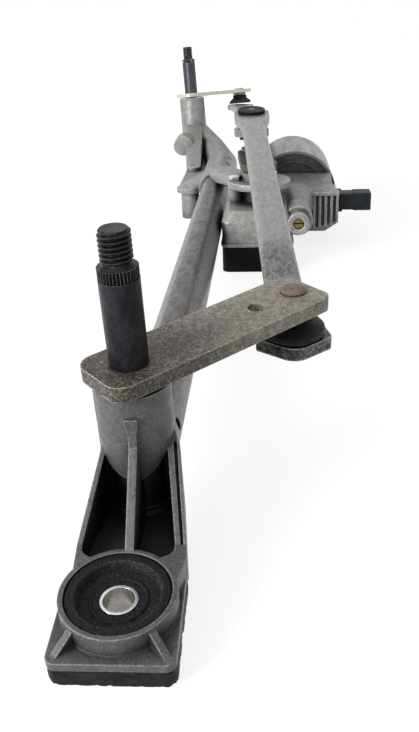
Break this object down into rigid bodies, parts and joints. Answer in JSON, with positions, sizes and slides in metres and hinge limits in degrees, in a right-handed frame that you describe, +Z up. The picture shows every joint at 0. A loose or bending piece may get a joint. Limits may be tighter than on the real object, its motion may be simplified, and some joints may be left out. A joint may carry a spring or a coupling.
{
  "type": "wiper linkage",
  "caption": "Windscreen wiper linkage: a tube frame joins near and far spindle bearings and a geared motor, whose crank drives each spindle's lever through a flat-oval rod.",
  "frame": {"origin": "centre of the near mounting bush's bore, on the underside of the rubber foot pad", "axes": "+Y along the frame tube towards the far spindle, +Z up from the floor it lies on, +X towards the motor's side"},
  "size_m": [0.1636, 0.7383, 0.1215],
  "materials": {
    "dark_casting": "satin die-cast",
    "raw_casting": "raw die-cast, stained",
    "galvanised_tube": "galvanised, dirty",
    "sintered_bronze": "oiled sintered",
    "mount_rubber": "dusty",
    "bright_zinc": "bright zinc",
    "black_plastic": "moulded",
    "turned_brass": "turned",
    "can_steel": "drawn, plated",
    "dark_plate": "moulded",
    "ferrite": "ground",
    "black_spindle": "black phosphate",
    "grey_lever": "weathered zinc",
    "pale_lever": "pale yellow zinc",
    "rusty_stud": "surface rust",
    "brown_crank": "forged, rust-brown",
    "gear_nylon": "moulded",
    "armature_steel": "ground"
  },
  "bodies": {
    "frame": {"frame_tube": "galvanised_tube", "near_housing": "dark_casting", "near_bushes": "sintered_bronze", "near_isolator": "mount_rubber", "near_mount_sleeve": "bright_zinc", "near_foot_pad": "mount_rubber", "far_housing": "raw_casting", "far_bushes": "sintered_bronze", "gear_housing": "raw_casting", "gear_cover": "black_plastic", "cover_screws": "bright_zinc", "thrust_screw": "turned_brass", "output_bush": "sintered_bronze", "motor_can": "can_steel", "motor_end_plate": "dark_plate", "can_magnets": "ferrite", "motor_screws": "bright_zinc", "connector": "black_plastic"},
    "near_wiper_arm": {"near_spindle": "black_spindle", "near_lever": "grey_lever", "near_ball_stud": "rusty_stud", "near_ball_boot": "mount_rubber", "near_washer": "bright_zinc", "near_circlip": "black_spindle"},
    "far_wiper_arm": {"far_spindle": "black_spindle", "far_lever": "pale_lever", "far_ball_stud": "pale_lever", "far_ball_boot": "mount_rubber", "far_washer": "bright_zinc", "far_circlip": "black_spindle"},
    "crank": {"output_shaft": "bright_zinc", "worm_wheel": "gear_nylon", "motor_crank": "brown_crank", "crank_nut": "bright_zinc", "crank_ball_stud": "bright_zinc"},
    "armature": {"armature_shaft": "armature_steel", "armature_core": "armature_steel"},
    "near_link": {"near_rod": "galvanised_tube", "near_rod_crank_socket": "black_plastic", "near_rod_lever_socket": "black_plastic"},
    "far_link": {"far_rod": "galvanised_tube", "far_rod_crank_socket": "black_plastic", "far_rod_lever_socket": "black_plastic"}
  },
  "joints": [
    {"name": "armature_spin", "type": "hinge", "parent": "frame", "child": "armature", "pos_m": [0.0607, 0.3646, 0.02946], "axis": [0, 1, 0], "range_deg": [0, 7560]},
    {"name": "crank_turn", "type": "hinge", "parent": "frame", "child": "crank", "pos_m": [0.0352, 0.3646, 0.05746], "axis": [0, 0, -1], "range_deg": [0, 180.5]},
    {"name": "near_pivot", "type": "hinge", "parent": "frame", "child": "near_wiper_arm", "pos_m": [-0.00087, 0.04521, 0.06256], "axis": [0.0139, 0.1045, -0.9944], "range_deg": [0, 78.78]},
    {"name": "far_pivot", "type": "hinge", "parent": "frame", "child": "far_wiper_arm", "pos_m": [-0.03487, 0.66321, 0.076], "axis": [0.0624, -0.1045, -0.9926], "range_deg": [0, 90.52]},
    {"name": "near_link_pivot", "type": "hinge", "parent": "crank", "child": "near_link", "pos_m": [0.02981, 0.40847, 0.08616], "axis": [-0.0018, 0.0143, 0.9999], "range_deg": [0, 179.6]},
    {"name": "far_link_pivot", "type": "hinge", "parent": "crank", "child": "far_link", "pos_m": [0.02981, 0.40847, 0.07496], "axis": [-0.0024, 0.0152, 0.9999], "range_deg": [0, 183.36]}
  ],
  "couplings": [
    {"joint": "crank_turn", "follows": "armature_spin", "ratio": 0.02381},
    {"joint": "near_pivot", "follows": "armature_spin", "ratio": 0.010355},
    {"joint": "far_pivot", "follows": "armature_spin", "ratio": 0.011907},
    {"joint": "near_link_pivot", "follows": "armature_spin", "ratio": 0.023691},
    {"joint": "far_link_pivot", "follows": "armature_spin", "ratio": 0.024187}
  ]
}
